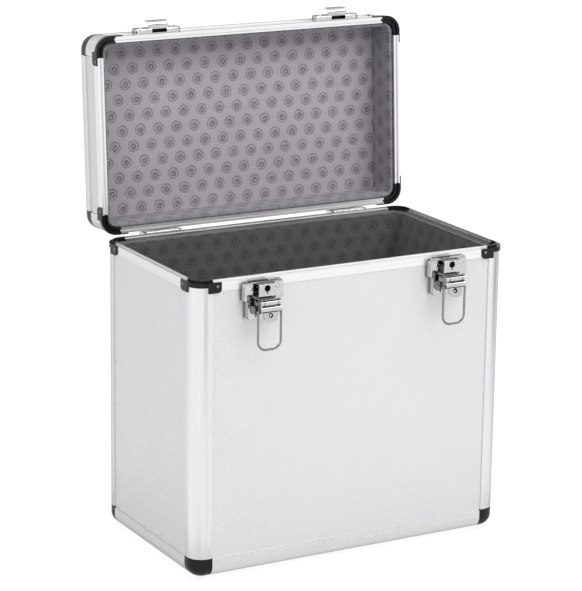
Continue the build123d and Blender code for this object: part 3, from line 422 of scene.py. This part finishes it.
def base_plating(tone):
    """Plating of the latch base, painted black inside the lock behind the keyhole, as painted shade."""
    plated = plated_steel("latch_base_plating", tone, crescent=0.6)
    axes = plated.add("ShaderNodeSeparateXYZ", plated.place()).outputs
    aside = plated.math("COMPARE", plated.math("ABSOLUTE", axes[0]), LATCH_X, KEYHOLE_REACH)
    level = plated.math("COMPARE", axes[2], KEYHOLE_Z, KEYHOLE_REACH)
    plated.darken(plated.math("MULTIPLY", aside, level))
    return plated


def lever_plating(tone):
    """Plating of the levers, painted black round the small hole in the tab, as painted shade."""
    plated = plated_steel("lever_plating", tone, crescent=0.9, turn_away=(0.3, 0.7))
    axes = plated.add("ShaderNodeSeparateXYZ", plated.place()).outputs
    aside = plated.math("SUBTRACT", plated.math("ABSOLUTE", axes[0]), LATCH_X)
    above = plated.math("SUBTRACT", axes[2], TAB_HOLE_Z)
    front = plated.math("LESS_THAN", axes[1], FRONT_Y - TAB_OUT)
    near = plated.math("LESS_THAN", plated.length(aside, above), TAB_HOLE_REACH)
    plated.darken(plated.math("MULTIPLY", front, near))
    return plated


def strike_plating(tone):
    """Plating of the strikes, painted black in the depth of the window under the hook, as painted shade.

    The place is turned back about the hinge, so that the window is a plain box on the shut lid.
    """
    plated = plated_steel("strike_plating", tone, crescent=0.4)
    hinge = Vector((0, HINGE_Y + BODY_MIDDLE_Y, HINGE_Z))
    shut = plated.add("ShaderNodeMapping", plated.place())
    shut.inputs["Rotation"].default_value = (OPEN_LEAN, 0, 0)
    shut.inputs["Location"].default_value = hinge - Matrix.Rotation(OPEN_LEAN, 3, "X") @ hinge
    axes = plated.add("ShaderNodeSeparateXYZ", shut.outputs[0]).outputs
    aside = plated.math("COMPARE", plated.math("ABSOLUTE", axes[0]), LATCH_X, WINDOW_HALF[0])
    deep = plated.math("COMPARE", axes[1], FRONT_Y - WINDOW_OUT, WINDOW_HALF[1])
    high = plated.math("COMPARE", axes[2], WINDOW_Z, WINDOW_HALF[2])
    plated.darken(plated.math("MULTIPLY", aside, plated.math("MULTIPLY", deep, high)))
    return plated


def lock_steel():
    """Dull turned steel inside the lock, painted near black as painted shade in the lock."""
    deep, pale = (0.02, 0.02, 0.021), (0.045, 0.045, 0.047)
    steel = Finish("lock_barrel_steel", pale, Metallic=1.0, Roughness=0.5)
    grain = steel.noise(steel.place(), 1500, 2)
    steel.color(steel.blend_colors(steel.span(grain, 0.3, 0.7, 0, 1), deep, pale))
    steel.bump(grain, 0.00003, 0.6)
    return steel.material


def moulded_black(name, tone, roughness, scale):
    """Matt black rubber or grip plastic with a fine pebbled skin."""
    skin = Finish(name, (tone, tone, tone), Roughness=roughness)
    place = skin.place()
    pebble = skin.noise(place, scale, 3)
    dust = skin.noise(place, 60, 3)
    skin.color(skin.blend_colors(skin.span(dust, 0.4, 0.75, 0, 1), (tone, tone, tone), (tone * 2.2,) * 3))
    skin.rough(skin.span(pebble, 0.3, 0.7, roughness - 0.08, roughness + 0.1))
    skin.bump(pebble, 0.00012, 0.6)
    return skin.material


def mark_place(foam, run):
    """Distance in millimetres and turn in whole turns, about the centre of the nearest mark.

    The centres stand as in pressed_marks, and two noises make the strokes waver a little.
    """
    axes = foam.add("ShaderNodeSeparateXYZ", run).outputs
    rise = foam.math("DIVIDE", foam.math("SUBTRACT", axes[1], MARK_START[1]), MARK_ROW)
    row = foam.math("ROUND", rise)
    pitches = foam.math("DIVIDE", foam.math("SUBTRACT", axes[0], MARK_START[0]), MARK_PITCH)
    along = foam.math("SUBTRACT", pitches, foam.math("MULTIPLY", row, MARK_SHIFT))
    x = foam.math("MULTIPLY", foam.math("SUBTRACT", along, foam.math("ROUND", along)), MARK_PITCH * 1000)
    y = foam.math("MULTIPLY", foam.math("SUBTRACT", rise, row), MARK_ROW * 1000)
    limits = (0.3, 0.7, -STROKE_WAVER, STROKE_WAVER)
    x = foam.math("ADD", x, foam.span(foam.noise(run, 420, 1), *limits))
    y = foam.math("ADD", y, foam.span(foam.noise(run, 390, 1), *limits))
    return foam.length(x, y), foam.math("DIVIDE", foam.math("ARCTAN2", y, x), 2 * pi)


def mark_strokes(foam, r, turn):
    """Spiral groove, dashed ring and raised ring of the marks, each from 0 to 1.

    The spiral is where r over its pitch less the turn is close to a whole number.
    """
    winding = foam.math("SUBTRACT", foam.math("DIVIDE", r, SPIRAL_PITCH), turn)
    off = foam.math("MULTIPLY", foam.math("PINGPONG", winding, 0.5), SPIRAL_PITCH)
    arm = foam.span(off, 0.35, 0.8, 1, 0)
    inner, outer = foam.span(r, 0.3, 0.7, 0, 1), foam.span(r, SPIRAL_RADIUS - 0.5, SPIRAL_RADIUS, 1, 0)
    spiral = foam.math("MULTIPLY", arm, foam.math("MULTIPLY", outer, inner))
    ring = foam.span(foam.math("ABSOLUTE", foam.math("SUBTRACT", r, RING_RADIUS)), 0.35, 0.85, 1, 0)
    dash = foam.span(foam.math("SINE", foam.math("MULTIPLY", turn, 2 * pi * RING_DASHES)), -0.6, 0.6, 0.45, 1)
    raised = foam.span(foam.math("ABSOLUTE", foam.math("SUBTRACT", r, RAISED_RADIUS)), 0.1, 0.6, 1, 0)
    return spiral, foam.math("MULTIPLY", ring, dash), raised


def lining_foam(name, light, dark):
    """Soft lining foam with round marks, on the piece's own run and rise in metres.

    Each mark is a spiral groove inside a dashed ring, with a raised ring between them. Painted shade
    makes the groove, the dashes and the foam inside the mark darker, and a painted highlight makes
    the raised ring paler.
    """
    foam = Finish(name, light, Roughness=0.85)
    foam.shader.inputs["Sheen Weight"].default_value = 0.25
    foam.shader.inputs["Sheen Roughness"].default_value = 0.6
    foam.shader.inputs["Specular IOR Level"].default_value = 0.25
    run = foam.add("ShaderNodeUVMap", uv_map="surface").outputs[0]
    r, turn = mark_place(foam, run)
    spiral, dashes, raised = mark_strokes(foam, r, turn)
    cells = foam.add("ShaderNodeTexVoronoi")
    foam.feed(cells.inputs["Vector"], run)
    cells.inputs["Scale"].default_value = 1500
    pores = cells.outputs["Distance"]
    cloud = foam.noise(run, 25, 3)
    grain = foam.noise(run, 600, 3)
    duller, paler = tuple(c * 0.93 for c in light), tuple(c * 1.2 for c in light)
    base = foam.blend_colors(foam.span(cloud, 0.3, 0.7, 0, 1), duller, light)
    # Painted shade darkens the dish, the dashes and the spiral groove of each mark; a painted highlight makes
    # the raised ring paler.
    base = foam.blend_colors(foam.span(r, RING_RADIUS - 0.2, RING_RADIUS + 0.8, 0.14, 0.0), base, dark)
    base = foam.blend_colors(foam.math("MULTIPLY", raised, 0.5), base, paler)
    base = foam.blend_colors(foam.math("MULTIPLY", dashes, 0.55), base, dark)
    base = foam.blend_colors(foam.math("MULTIPLY", spiral, 0.78), base, dark)
    base = foam.blend_colors(foam.span(grain, 0.35, 0.65, 0.12, 0.0), base, dark)
    foam.color(foam.blend_colors(foam.span(pores, 0.0, 0.5, 0.16, 0.0), base, dark))
    pressed = foam.math("ADD", foam.math("MULTIPLY", spiral, -1.0), foam.math("MULTIPLY", dashes, -0.8))
    stands = foam.math("ADD", pressed, foam.math("MULTIPLY", raised, 0.3))
    foam.bump(foam.math("ADD", foam.math("MULTIPLY", pores, 0.12), stands), 0.0006, 0.8)
    return foam.material


def dress(material, *names):
    """Gives CAD pieces a finish."""
    for name in names:
        mesh = nodes[name].data
        mesh.materials.clear()
        mesh.materials.append(material)


def dress_case():
    """Finishes on every CAD piece that shows as it is."""
    dress(embossed_sheet("embossed_front", 0, 2), "body_panel_front", "body_panel_back")
    # The side sheets are the front sheet painted darker, as painted shade.
    dress(embossed_sheet("embossed_side", 1, 2, tone_scale=0.93), "body_panel_left", "body_panel_right")
    dress(embossed_sheet("embossed_base", 0, 1), "body_panel_bottom")
    dress(embossed_sheet("embossed_lid_front", 0, 2, OPEN_LEAN), "lid_panel_front", "lid_panel_back")
    # The lid's side sheets are painted darker still, as painted shade.
    dress(embossed_sheet("embossed_lid_side", 1, 2, OPEN_LEAN, 0.90), "lid_panel_left", "lid_panel_right")
    dress(embossed_sheet("embossed_lid_top", 0, 1, OPEN_LEAN), "lid_panel_top")
    # The profiles are one aluminium, painted lighter on the rims and bottom edges than on the posts and lid
    # edges, as painted light and shade.
    dress(satin_profile("post_aluminium", 2), "body_corner_posts")
    dress(satin_profile("long_rim_aluminium", 0, tone=0.83), "body_rim_front", "body_rim_back")
    dress(satin_profile("short_rim_aluminium", 1, tone=0.83), "body_rim_left", "body_rim_right")
    dress(satin_profile("lid_long_rim_aluminium", 0, OPEN_LEAN, 0.90), "lid_rim_front", "lid_rim_back")
    dress(satin_profile("lid_short_rim_aluminium", 1, OPEN_LEAN, 0.90), "lid_rim_left", "lid_rim_right")
    dress(satin_profile("lid_post_aluminium", 2, OPEN_LEAN), "lid_corner_posts")
    dress(satin_profile("bottom_edge_aluminium", tone=0.84), "body_bottom_edges")
    dress(satin_profile("lid_edge_aluminium"), "lid_top_edges")
    corners = [f"{part}_rim_corner_{place}" for part in ("body", "lid") for place in ("fl", "fr", "bl", "br")]
    dress(black_moulding(), "body_ball_corners", "lid_ball_corners", *corners)
    dress(plated_steel("pin_plating", 0.6).material, "latch_pins")
    dress(lever_plating(0.58).material, "latch_lever_l", "latch_lever_r")
    dress(strike_plating(0.64).material, "latch_strike_l", "latch_strike_r")
    dress(base_plating(0.58).material, "latch_base_l", "latch_base_r")
    # The bail wire is painted darker than the other plating and goes to black where it turns away, as painted
    # dark reflection.
    wire = plated_steel("bail_wire_plating", 0.36, edge=0.0, crescent=0.97, turn_away=(0.1, 0.5))
    dress(wire.material, "latch_bail_l", "latch_bail_r")
    hinge = [f"hinge_{part}_leaf_{side}" for part in ("body", "lid") for side in "lr"]
    hinge += ["hinge_pins", "handle_rod", "handle_brackets"]
    dress(plated_steel("hinge_plating", 0.80, 0.14, 0.26).material, *hinge)
    dress(plated_steel("rivet_plating", 0.72, 0.10, 0.2).material, "body_rivets", "lid_rivets")
    corner_rivets = plated_steel("corner_rivet_steel", 0.30, 0.15, 0.3)
    dress(corner_rivets.material, "body_corner_rivets", "lid_corner_rivets")
    dress(lock_steel(), "lock_barrel_l", "lock_barrel_r")
    dress(moulded_black("foot_rubber_skin", 0.02, 0.7, 700), "body_feet")
    dress(moulded_black("grip_skin", 0.018, 0.45, 1200), "handle_grip")


def line_case():
    """The foam lining of the lid and the body."""
    grey = lining_foam("lid_foam_grey", (0.385, 0.36, 0.395), (0.05, 0.045, 0.055))
    # The lid walls and the body are lined with the lid foam painted darker, as painted shade.
    wall = lining_foam("lid_wall_foam_painted_shade", (0.22, 0.205, 0.23), (0.035, 0.032, 0.04))
    shade = lining_foam("body_foam_painted_shade", (0.083, 0.079, 0.087), (0.015, 0.013, 0.017))
    face = LID_CEILING - FOAM_THICKNESS
    foam_sheet("lid_foam_sheet", LID_CEILING, face, -1, "lid", "lid_lining_top", LID_STEP, grey, open_lid)
    mouth = LID_MOUTH + FOAM_DROP
    foam_band("lid_foam_band", mouth, face, False, "lid", "lid_lining_walls", LID_STEP, wall, open_lid)
    face = FOAM_FLOOR + FOAM_THICKNESS
    foam_sheet("body_foam_sheet", FOAM_FLOOR, face, 1, "body", "body_lining_floor", FLOOR_STEP, shade)
    mouth = RIM_TOP - FOAM_DROP
    foam_band("body_foam_band", face, mouth, True, "body", "body_lining_walls", BAND_STEP, shade)


# ================= Studio =================

def studio_camera():
    """Long lens from the front left, a little above the case."""
    heading = Vector((sin(CAMERA_AZIMUTH), cos(CAMERA_AZIMUTH), 0))
    level = Vector((cos(CAMERA_AZIMUTH), -sin(CAMERA_AZIMUTH), 0))
    ahead = heading * cos(CAMERA_ELEVATION) - Vector((0, 0, sin(CAMERA_ELEVATION)))
    up = level.cross(ahead)
    right = level * cos(CAMERA_ROLL) + up * sin(CAMERA_ROLL)
    top = up * cos(CAMERA_ROLL) - level * sin(CAMERA_ROLL)
    data = bpy.data.cameras.new("camera")
    data.lens, data.sensor_width = CAMERA_LENS, SENSOR_WIDTH
    camera = bpy.data.objects.new("camera", data)
    turn = Matrix((right, top, -ahead)).transposed().to_4x4()
    camera.matrix_world = Matrix.Translation(in_frame(np.array(CAMERA_PLACE))) @ turn
    data.clip_start, data.clip_end = 0.05, 50
    bpy.context.scene.collection.objects.link(camera)
    bpy.context.scene.camera = camera


def soft_box(name, place, size, power):
    """Square area lamp aimed at the middle of the case."""
    data = bpy.data.lights.new(name, "AREA")
    data.shape, data.size, data.energy = "SQUARE", size, power
    lamp = bpy.data.objects.new(name, data)
    lamp.location = place
    lamp.rotation_euler = (LAMP_AIM - Vector(place)).to_track_quat("-Z", "Y").to_euler()
    bpy.context.scene.collection.objects.link(lamp)


def level_rectangle(name, half_x, half_y):
    """Mesh of one level rectangle about the origin."""
    mesh = bpy.data.meshes.new(name)
    corners = [(-half_x, -half_y, 0), (half_x, -half_y, 0), (half_x, half_y, 0), (-half_x, half_y, 0)]
    mesh.from_pydata(corners, [], [(0, 1, 2, 3)])
    return mesh


def mirror_card(name, place, width, height, tone, flat=False):
    """Card beside the view that only mirrors see, upright and facing the case, or level."""
    mesh = level_rectangle(name, width / 2, height / 2)
    turn = Matrix.Identity(4)
    if not flat:
        turn = (Vector((0, 0, place[2])) - Vector(place)).to_track_quat("Z", "Y").to_matrix().to_4x4()
    mesh.transform(Matrix.Translation(place) @ turn)
    finish = Finish(name + "_cloth", (0, 0, 0), Roughness=1.0)
    finish.shader.inputs["Specular IOR Level"].default_value = 0
    finish.shader.inputs["Emission Color"].default_value = (tone, tone, tone, 1)
    finish.shader.inputs["Emission Strength"].default_value = 1.0
    mesh.materials.append(finish.material)
    card = bpy.data.objects.new(name, mesh)
    card.visible_camera = card.visible_diffuse = card.visible_shadow = False
    bpy.context.scene.collection.objects.link(card)


def seen_directly(tree):
    """1 for rays from the camera and for mirror and glass rays, 0 for the rest."""
    path = tree.nodes.new("ShaderNodeLightPath").outputs
    seen = path["Is Camera Ray"]
    for label in ("Is Glossy Ray", "Is Transmission Ray"):
        larger = tree.nodes.new("ShaderNodeMath")
        larger.operation = "MAXIMUM"
        tree.links.new(seen, larger.inputs[0])
        tree.links.new(path[label], larger.inputs[1])
        seen = larger.outputs[0]
    return seen


def studio_floor():
    """White floor that shows plain white, with a faint shadow of the case."""
    mesh = level_rectangle("floor", 6.0, 6.0)
    floor = bpy.data.objects.new("floor", mesh)
    finish = Finish("floor_paper", (0.8, 0.8, 0.8), Roughness=1.0)
    finish.shader.inputs["Specular IOR Level"].default_value = 0
    far = finish.add("ShaderNodeVectorMath", finish.place(), operation="LENGTH").outputs["Value"]
    glow = finish.add("ShaderNodeEmission", (1, 1, 1, 1), finish.span(far, 2.2, 3.2, 0.87, 1.0))
    shade = finish.add("ShaderNodeBsdfDiffuse", (0.17, 0.17, 0.17, 1))
    white = finish.add("ShaderNodeAddShader", glow.outputs[0], shade.outputs[0])
    seen = seen_directly(finish.tree)
    mix = finish.add("ShaderNodeMixShader", seen, finish.shader.outputs[0], white.outputs[0])
    finish.feed(finish.tree.nodes["Material Output"].inputs["Surface"], mix.outputs[0])
    mesh.materials.append(finish.material)
    bpy.context.scene.collection.objects.link(floor)


def studio_world():
    """White surround for the camera and for mirrors, and a soft grey sky for everything else."""
    world = bpy.data.worlds.new("surround")
    world.use_nodes = True
    bpy.context.scene.world = world
    tree = world.node_tree
    background = tree.nodes["Background"]
    strength = tree.nodes.new("ShaderNodeMapRange")
    strength.inputs["To Min"].default_value = 0.85
    strength.inputs["To Max"].default_value = 1.0
    tree.links.new(seen_directly(tree), strength.inputs["Value"])
    tree.links.new(strength.outputs[0], background.inputs["Strength"])
    background.inputs["Color"].default_value = (1, 1, 1, 1)


def build_studio():
    """Camera, floor, surround, lamps and mirror cards."""
    studio_camera()
    studio_floor()
    studio_world()
    soft_box("key_lamp", (0.9, -2.0, 2.3), 1.8, 44)
    soft_box("fill_lamp", (-2.3, -0.9, 1.5), 1.6, 14)
    soft_box("top_lamp", (0.0, 0.3, 2.6), 1.6, 16)
    mirror_card("dim_front", (-0.13, -0.85, 0.2), 0.25, 0.4, 0.5)
    mirror_card("dim_right", (0.80, -0.36, 0.2), 0.42, 0.4, 0.5)
    mirror_card("dark_ceiling", (0.15, -0.36, 0.64), 0.6, 0.46, 0.03, flat=True)
    mirror_card("dim_floor", (0.0, BODY_MIDDLE_Y, 0.001), 0.52, 0.37, 0.8, flat=True)


dress_case()
line_case()
build_studio()
bpy.context.scene.view_settings.view_transform = "Standard"
